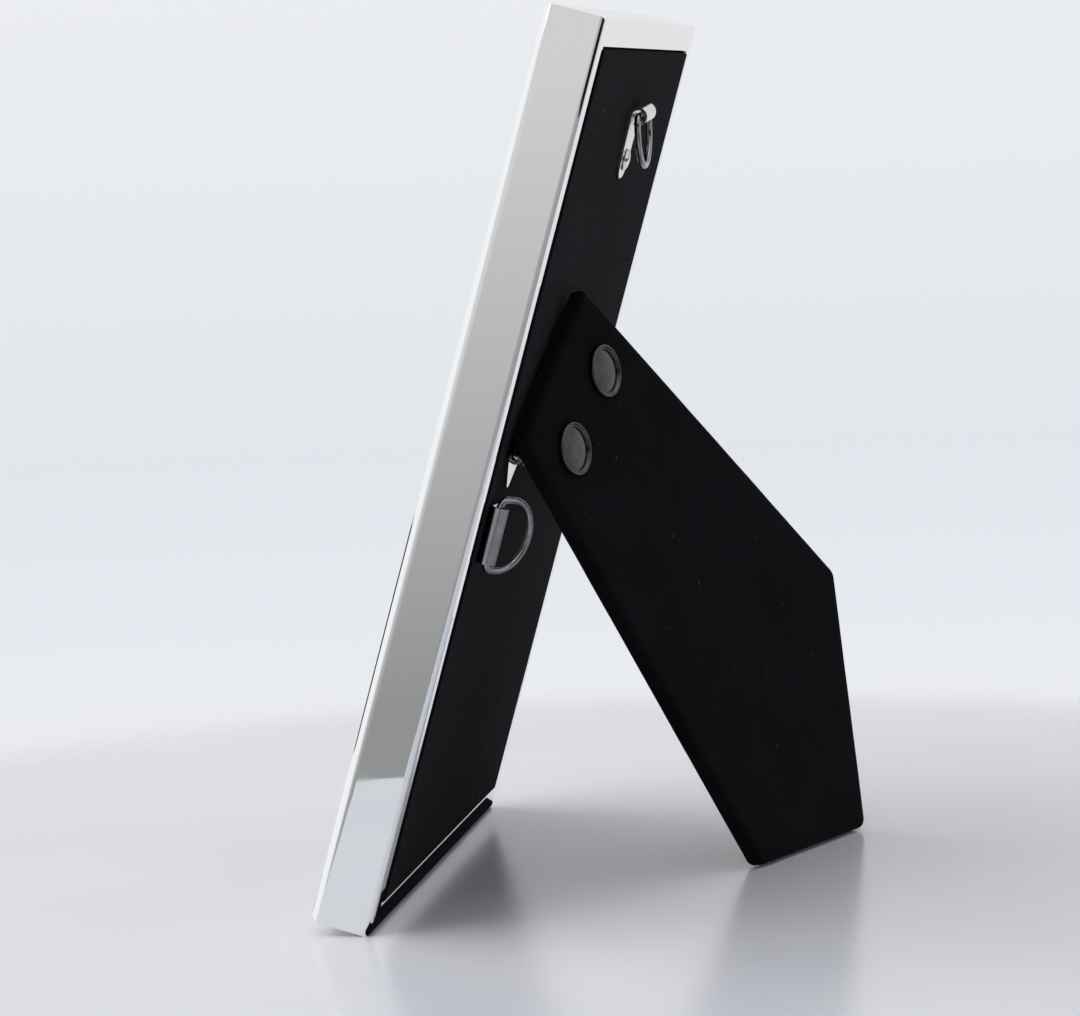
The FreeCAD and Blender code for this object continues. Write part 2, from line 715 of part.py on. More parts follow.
# The top ring hangs plumb off the leaning back; the side ring stays where it was left.
lean = math.radians(size("lean_angle"))
top_skew = math.radians(size("top_hanger_skew_angle"))
side_skew = math.radians(size("side_hanger_skew_angle"))
plumb = math.degrees(math.atan2(math.sin(lean), math.cos(top_skew) * math.cos(lean)))
TOP = make_hanger("hanger_top", "0", "top_hanger_up",
                  Vector(-math.sin(top_skew), 0, -math.cos(top_skew)), plumb)
SIDE = make_hanger("hanger_side", "side_hanger_x", "side_hanger_rise",
                   Vector(-math.cos(side_skew), 0, math.sin(side_skew)), size("side_ring_angle"))


# The rivets of the back, all alike: two through the hinge leaf and one through each strap.
# Their shanks end flush with the front of the board.
def make_studs(name, places):
    make_rivets(name, ("stud_radius", "stud_height"), None, "stud_shank_radius",
                "strap_thickness + velvet_thickness + board_thickness", None, places)


make_studs("panel_rivets",
           [HINGE * at(across, up, "leaf_thickness - knuckle_radius") for across, up in PANEL_STUDS])
for name, base in (("hanger_top_rivet", TOP), ("hanger_side_rivet", SIDE)):
    make_studs(name, [base * at("hanger_stud_reach", "0", "strap_thickness")])


# Stand the frame up: lean it, then bring the origin to the bottom centre of its box
def lowest_front():
    """How far forward the rounded bottom edge of the front comes."""
    radius = size("front_edge_radius")
    return ((radius - size("frame_depth")) * math.cos(lean) + radius * math.sin(lean)) - radius


def stand():
    leaning = Placement(Vector(), Rotation(Vector(1, 0, 0), -size("lean_angle")))
    for node, place in NODES:
        node.Placement = leaning * place
    doc.recompute()
    foot = next(node for node, place in NODES if node.Label == "strut_velvet")
    depth = foot.Shape.optimalBoundingBox(False).YMax + lowest_front()
    shift = Vector(0, -depth / 2, -frame_bottom(lean))
    standing = Placement(shift, leaning.Rotation)
    for node, place in NODES:
        node.Placement = standing * place
    doc.recompute()
    return standing


STANDING = stand()

for thing in doc.Objects:
    if "Invalid" in thing.State or "Error" in thing.State:
        raise RuntimeError("%s is %s" % (thing.Name, thing.State))
for node, place in NODES:
    if node.Shape.isNull() or not node.Shape.isValid() or not node.Shape.Solids:
        raise RuntimeError(node.Label + " has no valid solid")

os.makedirs("parts", exist_ok=True)
for node, place in NODES:
    node.Shape.exportStep("parts/" + node.Label + ".step")
    print(node.Label, len(node.Shape.Solids), "solid,", round(node.Shape.Volume, 2), "mm3")
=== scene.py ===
# %% [markdown]
# # Easel back photo frame, dressed in Blender
# The object is a slim frame of mirror-polished, nickel-plated moulding. It stands on a strut
# that swings out of its velvet back. The rigid pieces come ready made from the CAD model. This
# lesson adds what CAD leaves plain: velvet with its pile and lint, bent ring wire, domed
# rivets, and a finish for every surface.

# %% Load the frame
import bpy
import json
import math
import random
from mathutils import Matrix, Vector, noise


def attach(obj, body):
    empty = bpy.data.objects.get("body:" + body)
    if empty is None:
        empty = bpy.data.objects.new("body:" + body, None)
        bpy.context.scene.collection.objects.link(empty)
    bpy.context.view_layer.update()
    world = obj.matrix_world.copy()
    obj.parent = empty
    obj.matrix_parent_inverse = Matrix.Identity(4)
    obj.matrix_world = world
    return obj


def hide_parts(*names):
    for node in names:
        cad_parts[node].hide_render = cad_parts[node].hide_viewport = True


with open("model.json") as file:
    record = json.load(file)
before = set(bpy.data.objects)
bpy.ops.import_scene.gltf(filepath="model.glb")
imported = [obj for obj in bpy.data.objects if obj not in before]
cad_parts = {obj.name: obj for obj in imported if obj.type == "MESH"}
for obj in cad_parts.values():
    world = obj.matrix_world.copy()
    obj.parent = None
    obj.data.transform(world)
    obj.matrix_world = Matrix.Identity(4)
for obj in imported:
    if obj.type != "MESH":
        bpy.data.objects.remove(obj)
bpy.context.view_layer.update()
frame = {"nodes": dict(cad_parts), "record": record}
MM = 0.001
random.seed(7)

# %% [markdown]
# ## Where things are
# Three frames of axes are enough. The back has its X across, Y up the panel and Z out of the
# velvet. The hinge has X down the strut, Y along the pin and Z out. The strut is the hinge
# frame, opened. The lean and the pin's place come from the joint that the CAD model declares.
# The few lengths are those of the CAD model, in millimetres, so the pieces made here fit it.

# %% Axes of the back, the hinge and the strut
LIP, OPENING_W, OPENING_H = 6.0, 129.0, 180.0
STRUT_TURN, STRUT_OPEN = 45.0, 33.1
STRUT_INSET, HINGE_INSET, TIP_OFFSET, KNUCKLE = 1.6, 24.3, 3.4, 1.6


def joint_named(name):
    """The joint of that name in the CAD model's record."""
    return next(j for j in frame["record"]["behaviour"]["joints"] if j["name"] == name)


def axes(origin, x, y, z):
    """A matrix whose columns are three directions and a place."""
    columns = Matrix((x, y, z)).transposed().to_4x4()
    columns.translation = origin
    return columns


pin_place = Vector(joint_named("strut_hinge")["pos_m"])
pin_along = Vector(joint_named("strut_hinge")["axis"])
lean = math.atan2(pin_along.y, pin_along.z)
turn, opened = math.radians(STRUT_TURN), math.radians(STRUT_OPEN)
across = Vector((1, 0, 0))
up_panel = Vector((0, math.sin(lean), math.cos(lean)))
off_panel = Vector((0, math.cos(lean), -math.sin(lean)))
down_strut = -math.sin(turn) * across - math.cos(turn) * up_panel
HINGE_X = OPENING_W / 2 - HINGE_INSET
TIP_X, TIP_UP = STRUT_INSET - OPENING_W / 2, LIP + STRUT_INSET
HINGE_UP = TIP_UP + ((HINGE_X - TIP_X) * math.cos(turn) + TIP_OFFSET) / math.sin(turn)
velvet_zero = pin_place - (KNUCKLE * off_panel + HINGE_X * across + HINGE_UP * up_panel) * MM
BACK = axes(velvet_zero, across, up_panel, off_panel)
HINGE = axes(pin_place, down_strut, pin_along, off_panel)
STRUT = HINGE @ Matrix.Rotation(-opened, 4, "Y")
print("lean", round(math.degrees(lean), 2), "degrees")

# %% [markdown]
# ## The camera
# The photo was taken with a long lens from the frame's right, a little above and behind. The
# lens and the place were worked out from the corners of the frame, so the camera needs no
# shift. It looks along -X, turned by the yaw, pitched down and rolled a little.

# %% Camera
LENS_PIXELS, PICTURE_WIDTH, SENSOR = 3804.12, 1080, 36.0
CAMERA_PLACE = (813.93, 125.53, 168.75)
yaw, pitch, roll = (math.radians(angle) for angle in (9.72, 6.16, 1.83))
ahead = Vector((-math.cos(yaw) * math.cos(pitch), -math.sin(yaw) * math.cos(pitch),
                -math.sin(pitch)))
level = ahead.cross(Vector((0, 0, 1))).normalized()
below = ahead.cross(level)
right = level * math.cos(roll) + below * math.sin(roll)
down = below * math.cos(roll) - level * math.sin(roll)
camera_data = bpy.data.cameras.new("camera")
camera_data.sensor_width = SENSOR
camera_data.lens = LENS_PIXELS * SENSOR / PICTURE_WIDTH
camera_data.clip_start, camera_data.clip_end = 0.05, 20
camera = bpy.data.objects.new("camera", camera_data)
bpy.context.scene.collection.objects.link(camera)
camera.matrix_world = axes(Vector(CAMERA_PLACE) * MM, right, -down, -ahead)
bpy.context.scene.camera = camera
bpy.context.scene.view_settings.view_transform = "Standard"
print("lens", round(camera_data.lens, 1), "mm")

# %% [markdown]
# ## Colours and nodes
# Colours are written as hex numbers, as a painter reads them off a chart, and turned to the
# linear light that the shaders count in. One small function adds any node with its settings
# and its links.

# %% Helpers for materials


def paint(hex_colour):
    """A hex colour as linear red, green, blue and alpha."""
    parts = [int(hex_colour[i:i + 2], 16) / 255 for i in (1, 3, 5)]
    return tuple(c / 12.92 if c <= 0.04045 else ((c + 0.055) / 1.055) ** 2.4 for c in parts) + (1,)


def add(tree, kind, links=None, **settings):
    """Add a node: settings that it has as properties or inputs, links from other sockets."""
    node = tree.nodes.new(kind)
    for name, value in settings.items():
        if hasattr(node, name):
            setattr(node, name, value)
        else:
            node.inputs[name.replace("_", " ")].default_value = value
    for name, source in (links or {}).items():
        tree.links.new(source, node.inputs[name])
    return node


def new_material(name):
    """An empty material with its tree, its output and object coordinates."""
    material = bpy.data.materials.new(name)
    material.use_nodes = True
    tree = material.node_tree
    tree.nodes.clear()
    output = add(tree, "ShaderNodeOutputMaterial")
    place = add(tree, "ShaderNodeTexCoord").outputs["Object"]
    return material, tree, output, place


def ramp(tree, source, stops):
    """A colour ramp through (position, hex colour) stops."""
    node = add(tree, "ShaderNodeValToRGB", {"Fac": source})
    while len(node.color_ramp.elements) < len(stops):
        node.color_ramp.elements.new(0.5)
    for element, (position, colour) in zip(node.color_ramp.elements, stops):
        element.position = position
        element.color = paint(colour)
    return node.outputs["Color"]


def per_metre(millimetres):
    """The noise scale at which one cell is this many millimetres."""
    return 1 / (millimetres * MM)


# %% [markdown]
# ## Polished nickel plate
# Brass or steel moulding, buffed, nickel plated and buffed again. The eye sees almost a mirror,
# with a faint haze from the buffing and hairline scratches that run along the rails. Nickel is a
# warm grey metal. The scratches are 0.3 mm apart here, coarser than real ones, so that they show.
# A plain metal shader would be the simplest way, but noise in its roughness and a very weak bump
# keep such large flat mirrors from looking computed.

# %% Nickel


def polished_nickel():
    """Metal with a hazy roughness and fine scratches that run up the frame."""
    material, tree, output, place = new_material("buffed_nickel_plate")
    haze = add(tree, "ShaderNodeTexNoise", {"Vector": place}, Scale=per_metre(14), Detail=3.0)
    stretched = add(tree, "ShaderNodeMapping", {"Vector": place},
                    Scale=(1.0, 1.0, 0.03))
    hairs = add(tree, "ShaderNodeTexNoise", {"Vector": stretched.outputs["Vector"]},
                Scale=per_metre(0.3), Detail=2.0)
    rough = add(tree, "ShaderNodeMapRange", {"Value": haze.outputs["Fac"]},
                From_Min=0.35, From_Max=0.7, To_Min=0.015, To_Max=0.05)
    scratch = add(tree, "ShaderNodeBump", {"Height": hairs.outputs["Fac"]},
                  Strength=0.004, Distance=0.0001)
    shader = add(tree, "ShaderNodeBsdfPrincipled",
                 {"Roughness": rough.outputs["Result"], "Normal": scratch.outputs["Normal"]},
                 Base_Color=paint("#f3f4f5"), Metallic=1.0)
    tree.links.new(shader.outputs[0], output.inputs["Surface"])
    return material


# %% [markdown]
# ## Bright and dark plated steel
# The straps and hinge leaves are stamped from thin steel strip and barrel plated, bright but not
# buffed, so they are a little rougher and slightly uneven. The cap rivets have a dark gunmetal
# plate with a satin sheen. The rings are a nickel that has dulled to grey. The side strap is the
# same bright strap as the top one; it takes the rings' grey plate as painted shade, for the darker
# surroundings that it mirrors. One function makes all three from two colours, a range of roughness
# and the grain in mm.

# %% Plated steel


def plated_steel(name, dark, light, low, high, grain):
    """Blotched metal from dark to light, its roughness from low to high, its grain in mm."""
    material, tree, output, place = new_material(name)
    blotch = add(tree, "ShaderNodeTexNoise", {"Vector": place}, Scale=per_metre(3.0), Detail=4.0)
    fine = add(tree, "ShaderNodeTexNoise", {"Vector": place}, Scale=per_metre(grain), Detail=2.0)
    colour = ramp(tree, blotch.outputs["Fac"], [(0.3, dark), (0.7, light)])
    rough = add(tree, "ShaderNodeMapRange", {"Value": fine.outputs["Fac"]},
                From_Min=0.3, From_Max=0.7, To_Min=low, To_Max=high)
    pits = add(tree, "ShaderNodeBump", {"Height": fine.outputs["Fac"]},
               Strength=0.05, Distance=0.00005)
    shader = add(tree, "ShaderNodeBsdfPrincipled",
                 {"Base Color": colour, "Roughness": rough.outputs["Result"],
                  "Normal": pits.outputs["Normal"]}, Metallic=1.0)
    tree.links.new(shader.outputs[0], output.inputs["Surface"])
    return material


# %% [markdown]
# ## Velvet
# Cut-pile rayon velvet, black, glued round its boards. Seen straight on it swallows light.
# At a grazing angle the pile tips catch it, which a sheen lobe gives. The pile leans in soft
# patches some centimetres wide, its tips make a grain of about 0.35 mm, and a few specks of
# grey dust, at most one in each 2.4 mm cell, sit in it. Hair particles could carry the pile, but
# its tips are about as large as one pixel of the photo, so a bump does the same with less.

# %% Velvet material


def cut_pile_velvet():
    """Black cloth with patches, dust, a bumpy pile and a weak sheen."""
    material, tree, output, place = new_material("cut_pile_velvet")
    patches = add(tree, "ShaderNodeTexNoise", {"Vector": place}, Scale=per_metre(16), Detail=3.0)
    tips = add(tree, "ShaderNodeTexNoise", {"Vector": place}, Scale=per_metre(0.35), Detail=3.0)
    colour = ramp(tree, patches.outputs["Fac"], [(0.3, "#0b0b0d"), (0.75, "#131317")])
    flecks = add(tree, "ShaderNodeTexVoronoi", {"Vector": place}, Scale=per_metre(2.4))
    speck = ramp(tree, flecks.outputs["Distance"], [(0.05, "#ffffff"), (0.09, "#000000")])
    some = ramp(tree, flecks.outputs["Color"], [(0.86, "#000000"), (0.93, "#ffffff")])
    dust = add(tree, "ShaderNodeMath", {0: speck, 1: some}, operation="MULTIPLY")
    mixed = add(tree, "ShaderNodeMix", {0: dust.outputs[0], 6: colour}, data_type="RGBA")
    mixed.inputs[7].default_value = paint("#4a4a50")
    pile = add(tree, "ShaderNodeBump", {"Height": tips.outputs["Fac"]},
               Strength=0.55, Distance=0.0003)
    shader = add(tree, "ShaderNodeBsdfPrincipled",
                 {"Base Color": mixed.outputs[2], "Normal": pile.outputs["Normal"]},
                 Roughness=1.0, IOR=1.45, Sheen_Weight=0.045, Sheen_Roughness=0.4,
                 Sheen_Tint=paint("#c8ccd6"))
    shader.inputs["Specular IOR Level"].default_value = 0.05
    tree.links.new(shader.outputs[0], output.inputs["Surface"])
    return material


# %% [markdown]
# ## Glass, card and hardboard
# The pane is float glass with its faint green. It lets the lamps' light pass straight through,
# so that the card behind it is lit as behind a real pane. The cards are plain pulp board with a
# soft tooth. The boards inside the velvet are hardboard, pressed brown fibre. Little of these
# shows, so one noise for colour and bump is enough for card and board alike.

# %% Glass, card and hardboard


def float_glass():
    """Clear glass, but simply transparent to shadow and diffuse rays."""
    material, tree, output, place = new_material("float_glass")
    ray = add(tree, "ShaderNodeLightPath")
    waves = add(tree, "ShaderNodeTexNoise", {"Vector": place}, Scale=per_metre(45), Detail=1.0)
    draw = add(tree, "ShaderNodeBump", {"Height": waves.outputs["Fac"]},
               Strength=0.02, Distance=0.0002)
    shader = add(tree, "ShaderNodeBsdfPrincipled", {"Normal": draw.outputs["Normal"]},
                 Base_Color=paint("#fafdfb"), Roughness=0.0, IOR=1.52,
                 Transmission_Weight=1.0)
    daylight = add(tree, "ShaderNodeBsdfTransparent", Color=paint("#f4f7f5"))
    soft = add(tree, "ShaderNodeMath", {0: ray.outputs["Is Shadow Ray"],
                                        1: ray.outputs["Is Diffuse Ray"]}, operation="MAXIMUM")
    mixed = add(tree, "ShaderNodeMixShader", {0: soft.outputs[0], 1: shader.outputs[0],
                                              2: daylight.outputs[0]})
    tree.links.new(mixed.outputs[0], output.inputs["Surface"])
    return material


def pressed_fibre(name, dark, light, fibre):
    """Matt fibre from dark to light, the fibre's size in mm."""
    material, tree, output, place = new_material(name)
    web = add(tree, "ShaderNodeTexNoise", {"Vector": place}, Scale=per_metre(fibre), Detail=5.0,
              Distortion=1.2)
    colour = ramp(tree, web.outputs["Fac"], [(0.3, dark), (0.7, light)])
    tooth = add(tree, "ShaderNodeBump", {"Height": web.outputs["Fac"]},
                Strength=0.3, Distance=0.0001)
    shader = add(tree, "ShaderNodeBsdfPrincipled",
                 {"Base Color": colour, "Normal": tooth.outputs["Normal"]},
                 Roughness=0.85, IOR=1.5)
    tree.links.new(shader.outputs[0], output.inputs["Surface"])
    return material


# %% [markdown]
# ## One finish for each CAD node
# Every rigid piece keeps its CAD mesh and only gets a material. A table of finishes keeps the
# choice for all 22 nodes in one place.

# %% Give every CAD node its finish
nickel = polished_nickel()
bright = plated_steel("bright_plated_steel", "#cfcdc9", "#e2e0dc", 0.08, 0.2, 0.25)
gunmetal = plated_steel("gunmetal_plate", "#424243", "#505051", 0.2, 0.3, 0.2)
# Grey plate of the rings; given to the side strap below, it is painted shade.
grey_wire_and_shaded_strap = plated_steel("dark_nickel_wire_and_strap_shade", "#7e7f82", "#97989b", 0.14, 0.24, 0.25)
velvet = cut_pile_velvet()
glass = float_glass()
insert = pressed_fibre("white_pulp_card", "#e4e3df", "#f0efec", 0.6)
spacer = pressed_fibre("grey_pulp_card", "#8a8780", "#9b988f", 0.8)
board = pressed_fibre("hardboard", "#5b3f27", "#7c5a3a", 1.2)
FINISHES = {
    nickel: ["rail_left", "rail_top", "rail_right", "rail_bottom"],
    bright: ["hinge_leaf_panel", "hinge_leaf_strut", "hinge_pin", "panel_rivets",
             "hanger_top_strap", "hanger_top_rivet", "hanger_side_rivet"],
    gunmetal: ["strut_rivets"],
    # The side strap is the same bright strap as the top one; the rings' grey plate on it is
    # painted shade.
    grey_wire_and_shaded_strap: ["hanger_top_ring", "hanger_side_ring", "hanger_side_strap"],
    velvet: ["back_velvet", "strut_velvet"],
    glass: ["glass"],
    insert: ["insert_card"],
    spacer: ["spacer_card"],
    board: ["back_board", "strut_board"],
}
for material, nodes in FINISHES.items():
    for name in nodes:
        slots = frame["nodes"][name].data.materials
        slots.clear()
        slots.append(material)
print("finishes:", sum(len(nodes) for nodes in FINISHES.values()), "nodes")

# %% [markdown]
# ## Pieces made here
# Cloth, wire and rivets are modelled as meshes. Each is written as points in millimetres in one
# of the frames of axes, and then rides on a body, so that it moves with its joint. They could
# be drawn by hand, but points from a formula keep the lengths of the CAD model.

# %% Helper: a mesh piece


def piece(name, points, faces, body, material, matrix, smooth=True):
    """A mesh of points in millimetres, in some frame of axes, that rides on a body."""
    mesh = bpy.data.meshes.new(name)
    mesh.from_pydata([matrix @ (Vector(p) * MM) for p in points], [], faces)
    mesh.materials.append(material)
    mesh.polygons.foreach_set("use_smooth", [smooth] * len(mesh.polygons))
    made = bpy.data.objects.new(name, mesh)
    bpy.context.scene.collection.objects.link(made)
    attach(made, body)
    return made


# %% [markdown]
# ## The velvet of the back
# The cloth is pulled tight over the board and glued round its edges, so it is a flat sheet with
# small soft shoulders that drop into the opening. It is a grid in the axes of the back: the
# rim rolls over a 0.5 mm shoulder, the face has the faint unevenness of glued cloth, and a shallow
# valley is pressed under the hinge.

# %% Back velvet
BACK_PLAY, SHOULDER, TUCK, SINK, UNEVEN, PITCH = 0.3, 0.5, 2.4, 0.06, 0.035, 1.3
FACE_WAVE = 0.06
VALLEY_HALF_LENGTH, VALLEY_HALF_WIDTH, VALLEY_DEPTH = 21.5, 2.2, 0.32


def shoulder_profile():
    """(distance in from the wrapped edge, depth) down to the tuck, from the face outward."""
    points = [(SHOULDER * (1 - math.sin(a)), SHOULDER * (math.cos(a) - 1))
              for a in (math.radians(15 * i) for i in range(7))]
    return points + [(0.0, -SHOULDER - (TUCK - SHOULDER) * k / 2) for k in (1, 2)]


def steps(low, high, pitch):
    """Evenly spaced numbers from low to high, about the pitch apart."""
    count = max(2, round((high - low) / pitch))
    return [low + (high - low) * k / count for k in range(count + 1)]


def back_velvet_grid():
    """The columns and rows of the grid, each as (place, depth under the face)."""
    half_w = OPENING_W / 2 - BACK_PLAY
    low, high = LIP + BACK_PLAY, LIP + OPENING_H - BACK_PLAY
    profile = shoulder_profile()
    xs = [(-half_w + d, z) for d, z in reversed(profile)]
    flat = steps(-half_w + SHOULDER, half_w - SHOULDER, PITCH)[1:-1]
    xs += [(x, 0.0) for x in flat] + [(half_w - d, z) for d, z in profile]
    ys = [(low + d, z) for d, z in reversed(profile)]
    flat = steps(low + SHOULDER, high - SHOULDER, PITCH)[1:-1]
    ys += [(y, 0.0) for y in flat] + [(high - d, z) for d, z in profile]
    return xs, ys


def valley(x, y):
    """How far the face is pressed down under the knuckles of the hinge."""
    reach = Vector((x - HINGE_X, y - HINGE_UP))
    along_pin = Vector((-math.cos(turn), math.sin(turn)))
    offset = abs(reach.cross(along_pin))
    if abs(reach.dot(along_pin)) > VALLEY_HALF_LENGTH or offset > VALLEY_HALF_WIDTH:
        return 0.0
    return VALLEY_DEPTH * (0.5 + 0.5 * math.cos(math.pi * offset / VALLEY_HALF_WIDTH))


xs, ys = back_velvet_grid()
points, faces = [], []
for y, drop_y in ys:
    for x, drop_x in xs:
        spot = Vector((x * FACE_WAVE, y * FACE_WAVE, 0))
        uneven = UNEVEN * noise.noise(spot) - SINK if drop_x == drop_y == 0 else -SINK
        points.append((x, y, uneven - valley(x, y) + min(drop_x, drop_y)))
wide = len(xs)
for row in range(len(ys) - 1):
    for column in range(wide - 1):
        corner = row * wide + column
        faces.append((corner, corner + 1, corner + wide + 1, corner + wide))
back_cloth = piece("back_velvet_cloth", points, faces, "back", velvet, BACK)
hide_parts("back_velvet")
print("back cloth:", len(points), "points")

# %% [markdown]
# ## The velvet of the strut
# The strut is a five-cornered board in a velvet wrap. Its outline is the one of the CAD model:
# the side edge runs straight up the panel when the strut is folded, and the foot edge lies on
# the table when it is open. The corners are rounded as the cloth rounds them.

# %% Strut outline
STRUT_TOP_WIDTH, SIDE_EDGE, FOOT_EDGE, STRUT_THICKNESS = 42.6, 59.0, 49.0, 4.2
STOP_GAP, EDGE_BEVEL = 0.3, 0.6


def strut_corners():
    """(down the strut, along the pin, corner radius), from the upper corner round the foot."""
    length = (HINGE_X - TIP_X) * math.sin(turn) + (HINGE_UP - TIP_UP) * math.cos(turn)
    overhang = EDGE_BEVEL + (KNUCKLE + KNUCKLE * math.cos(opened) - STOP_GAP) / math.sin(opened)
    half = STRUT_TOP_WIDTH / 2
    side = Vector((math.sin(turn), math.cos(turn))) * SIDE_EDGE
    foot_run = (math.cos(turn) * math.cos(opened) * math.cos(lean)
                + math.sin(opened) * math.sin(lean))
    foot = Vector((math.sin(turn) * math.cos(lean), foot_run)).normalized() * FOOT_EDGE
    return [(-overhang, half, 1.0), (-overhang, -half, 5.0),
            (length - foot.x, -TIP_OFFSET - foot.y, 3.0), (length, -TIP_OFFSET, 2.5),
            (length - side.x, side.y - TIP_OFFSET, 3.0)]


def rounded_outline(corners, inset=0.0, arc_steps=8):
    """Points round an outline of (x, y, corner radius), moved in by the inset."""
    count = len(corners)
    places = [Vector(c[:2]) for c in corners]
    ways = [(places[(i + 1) % count] - places[i]).normalized() for i in range(count)]
    side = 1 if sum(places[i - 1].cross(places[i]) for i in range(count)) > 0 else -1
    points = []
    for i in range(count):
        before, after = ways[i - 1], ways[i]
        radius = max(corners[i][2] - inset, 0.2)
        half = before.angle(after) / 2
        inward_before = Vector((-before.y, before.x)) * side
        inward_after = Vector((-after.y, after.x)) * side
        middle = (inward_before + inward_after).normalized()
        centre = places[i] + middle * ((inset + radius) / math.cos(half))
        start = math.atan2(-inward_before.y, -inward_before.x)
        for k in range(arc_steps + 1):
            angle = start + side * 2 * half * k / arc_steps
            points.append(centre + Vector((math.cos(angle), math.sin(angle))) * radius)
    return points


print("strut corners:", [(round(x, 1), round(y, 1)) for x, y, radius in strut_corners()])

# %% [markdown]
# ## The wrap round the strut
# The wrap is a stack of rings: they start inside one face, run out to its edge, roll round it
# and come back over the other face. Thick pile softens every edge, so the roll is 1.3 mm. The
# finished wrap then gets a little unevenness.

# %% Strut wrap
EDGE, PROUD, SKIN, PILE_WAVE, PILE_UNEVEN = 1.3, 0.12, 0.1, 11, 0.05
FACE_INSETS = [20, 17, 14, 11, 8.5, 6.2, 4.2, 2.6]
RING_PITCH = 1.6


def wrap_rings():
    """(inset, height over the inner face) from the middle of one face round to the other."""
    under = [(inset, SKIN) for inset in FACE_INSETS]
    under += [(PROUD + EDGE * (1 - math.sin(a)), SKIN + EDGE * (1 - math.cos(a)))
              for a in (math.radians(15 * k) for k in range(7))]
    return under + [(inset, STRUT_THICKNESS - height) for inset, height in reversed(under)]


def resampled(loop, shares):
    """The loop's points, with each side cut into its share of pieces."""
    points = []
    for i, point in enumerate(loop):
        after = loop[(i + 1) % len(loop)]
        points += [point.lerp(after, k / shares[i]) for k in range(shares[i])]
    return points


outer = rounded_outline(strut_corners(), PROUD)
shares = [max(1, round((outer[(i + 1) % len(outer)] - outer[i]).length / RING_PITCH))
          for i in range(len(outer))]
around = sum(shares)
points, faces = [], []
for inset, height in wrap_rings():
    loop = resampled(rounded_outline(strut_corners(), inset), shares)
    points += [(p.x, p.y, KNUCKLE + height) for p in loop]
for ring in range(len(wrap_rings()) - 1):
    for k in range(around):
        a, b = ring * around + k, ring * around + (k + 1) % around
        faces.append((a, a + around, b + around, b))
faces += [tuple(range(around)), tuple(range(len(points) - 1, len(points) - 1 - around, -1))]
wrap = piece("strut_velvet_wrap", points, faces, "strut", velvet, STRUT)
for vertex in wrap.data.vertices:
    spot = vertex.co / (PILE_WAVE * MM)
    vertex.co += vertex.normal * PILE_UNEVEN * noise.noise(spot) * MM
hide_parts("strut_velvet")
print("strut wrap:", len(wrap.data.vertices), "points")

# %% [markdown]
# ## Rivets
# Rivets are turned and then set with a domed punch, so each is a profile spun round its axis.
# The two cap rivets of the strut have broad, almost flat caps with a rolled rim and a tail set
# on the inner face. The four small ones have plain low domes.

# %% Rivets


def turned(name, profile, places, body, material, sides=48):
    """Spin a profile of (radius, height) round Z at each place, as one piece."""
    points, faces = [], []
    for place in places:
        start = len(points)
        for radius, height in profile:
            points += [tuple(place @ Vector((radius * math.cos(a), radius * math.sin(a), height)))
                       for a in (math.tau * k / sides for k in range(sides))]
        for ring in range(len(profile) - 1):
            for k in range(sides):
                a, b = start + ring * sides + k, start + ring * sides + (k + 1) % sides
                faces.append((a, a + sides, b + sides, b))
        last = len(points) - sides
        faces += [tuple(range(start, start + sides)), tuple(range(len(points) - 1, last - 1, -1))]
    return piece(name, points, faces, body, material, Matrix.Identity(4))


def in_millimetres(matrix, x, y, z):
    """A place in an axes frame, as a matrix that takes millimetres to millimetres."""
    place = matrix.copy()
    place.translation = (matrix @ (Vector((x, y, z)) * MM)) / MM
    return place


def dome(radius, height, rim, count=9):
    """A low dome from its apex out to the rolled rim and down to the seat."""
    top = [(0.02 + (radius - rim) * k / count, height - (height - 2 * rim) * (k / count) ** 3)
           for k in range(count + 1)]
    edge = [(radius - rim + rim * math.sin(a), rim + rim * math.cos(a))
            for a in (math.radians(30 * k) for k in range(1, 6))]
    return top + edge + [(radius - rim, 0.0)]


CAP_RADIUS, CAP_DROP, CAP_SPREAD = 5.6, 9.2, 10.9
CAP_FACE = dome(CAP_RADIUS - 0.42, 0.98, 0.1)[:10]
CAP_RIM = [(5.12, 0.99), (5.2, 1.06), (5.32, 1.1), (5.44, 1.05), (5.54, 0.9), (5.59, 0.6),
           (5.58, 0.25), (5.5, 0.0)]
CAP_TAIL = [(1.5, 0.0), (1.5, -4.8), (2.55, -4.8), (2.6, -5.0), (2.45, -5.3), (1.4, -5.3),
            (0.6, -4.9)]
caps = turned("strut_cap_rivets", CAP_FACE + CAP_RIM + CAP_TAIL,
              [in_millimetres(STRUT, CAP_DROP, spread, KNUCKLE + STRUT_THICKNESS)
               for spread in (CAP_SPREAD, -CAP_SPREAD)], "strut", gunmetal)
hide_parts("strut_rivets")
print("cap rivets:", len(caps.data.vertices), "points")

# %% [markdown]
# ## Small rivets
# Two studs hold the fixed leaf of the hinge, and one holds each hanger's strap. All four are
# the same low dome on a plain shank, so one profile is spun four times.

# %% Small rivets of the back
STUD_RADIUS, STUD_HEIGHT, LEAF, STUD_REACH, CURL = 2.5, 1.0, 0.6, 10.5, 1.95
PANEL_STUD_DROP, PANEL_STUD_SPREAD = 6.4, 14.5
STUD_PROFILE = dome(STUD_RADIUS, STUD_HEIGHT, 0.2) + [(1.2, 0.0), (1.2, -7.2)]
leaf_studs = turned("leaf_rivets", STUD_PROFILE,
                    [in_millimetres(HINGE, PANEL_STUD_DROP, spread, LEAF - KNUCKLE)
                     for spread in (PANEL_STUD_SPREAD, -PANEL_STUD_SPREAD)],
                    "back", bright, 32)
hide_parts("panel_rivets")


def hanger_axes(joint_name):
    """Axes of a hanger on the velvet under its ring's bar: X along the tongue, Z out."""
    joint = joint_named(joint_name)
    bar = -Vector(joint["axis"])
    seat = Vector(joint["pos_m"]) - off_panel * CURL * MM
    return axes(seat, bar.cross(off_panel), bar, off_panel)


